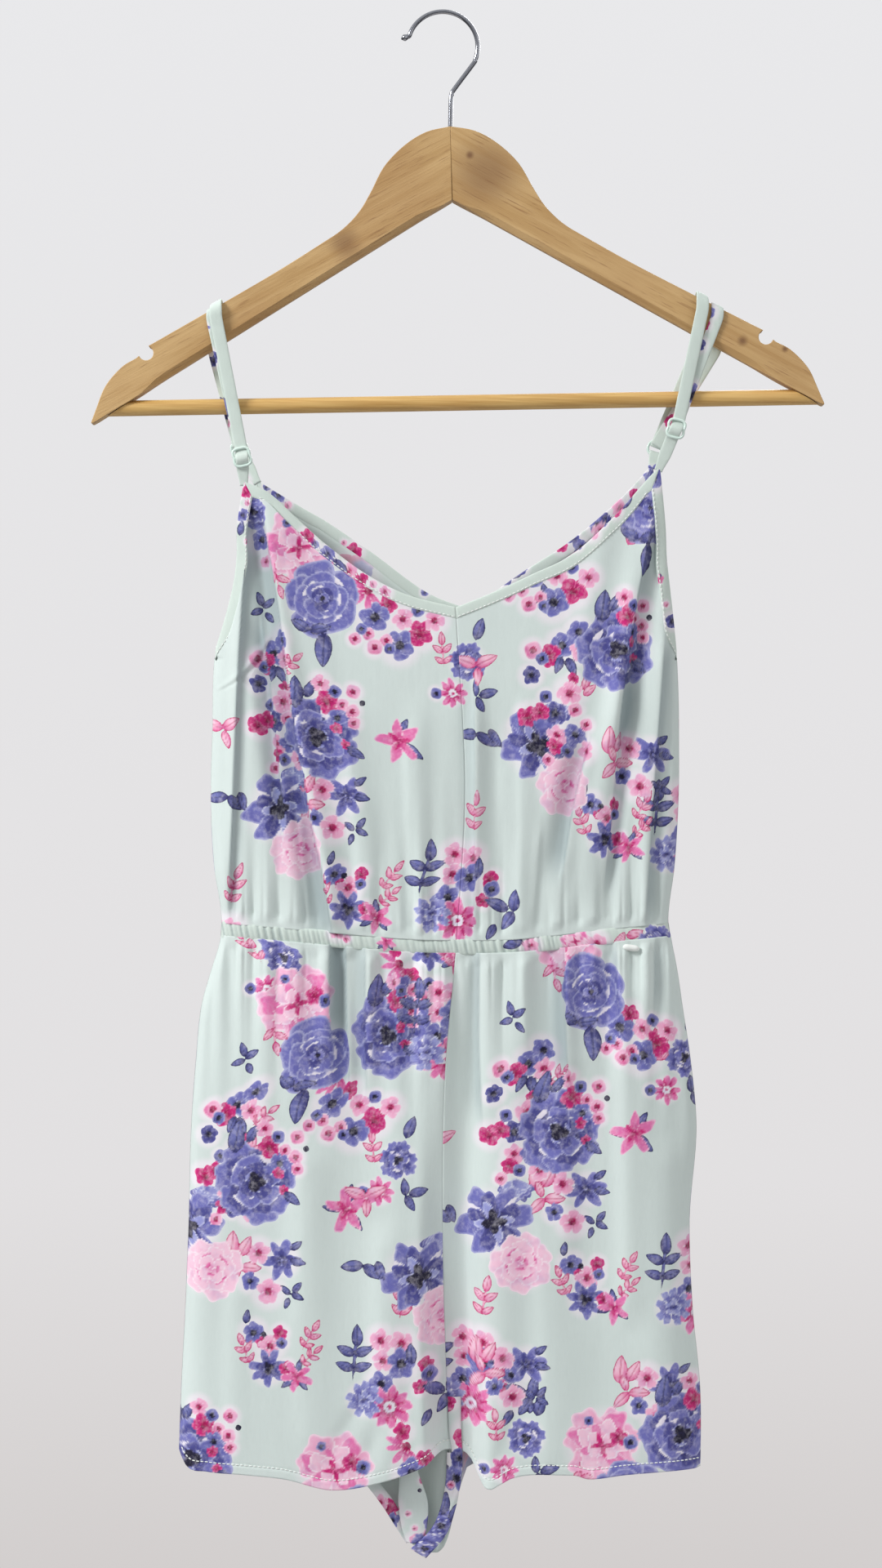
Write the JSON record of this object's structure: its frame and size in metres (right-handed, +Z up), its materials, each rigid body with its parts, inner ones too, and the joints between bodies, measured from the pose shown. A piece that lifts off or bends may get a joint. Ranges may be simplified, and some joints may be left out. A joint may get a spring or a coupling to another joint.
{
  "type": "strappy romper on a wooden hanger",
  "caption": "Strappy V-neck romper in floral cloth with an elastic waist, hanging by doubled straps with plastic sliders on a wooden hanger with a trouser bar.",
  "frame": {"origin": "inside top of the hanger's hook, where a rail carries it", "axes": "+Z up, -Y the garment's front, +X to the viewer's right when looking at the front"},
  "size_m": [0.4438, 0.0315, 0.9378],
  "materials": {
    "printed_cloth": "matt woven cloth with a floral print on pale mint",
    "trim_cloth": "matt plain mint cloth",
    "slider_plastic": "satin mint plastic",
    "hanger_wood": "satin honey-coloured wood",
    "bar_wood": "satin pale dowel",
    "hook_metal": "bright plated wire"
  },
  "bodies": {
    "root": {"hanger_arm_left": "hanger_wood", "hanger_arm_right": "hanger_wood", "hanger_bar": "bar_wood", "hanger_hook": "hook_metal", "strap_left_main": "trim_cloth", "strap_left_return": "trim_cloth", "strap_right_main": "trim_cloth", "strap_right_return": "trim_cloth", "strap_tab_left": "trim_cloth", "strap_tab_right": "trim_cloth", "slider_left": "slider_plastic", "slider_right": "slider_plastic", "ring_left": "slider_plastic", "ring_right": "slider_plastic", "bodice_front_left": "printed_cloth", "bodice_front_right": "printed_cloth", "bodice_back": "printed_cloth", "armhole_binding_left_front": "trim_cloth", "armhole_binding_left_back": "trim_cloth", "armhole_binding_right_front": "trim_cloth", "armhole_binding_right_back": "trim_cloth", "neck_binding_left_front": "trim_cloth", "neck_binding_left_back": "trim_cloth", "neck_binding_right_front": "trim_cloth", "neck_binding_right_back": "trim_cloth", "waistband_front": "trim_cloth", "waistband_back": "trim_cloth", "shorts_front_left": "printed_cloth", "shorts_front_right": "printed_cloth", "shorts_back_left": "printed_cloth", "shorts_back_right": "printed_cloth"}
  },
  "joints": []
}
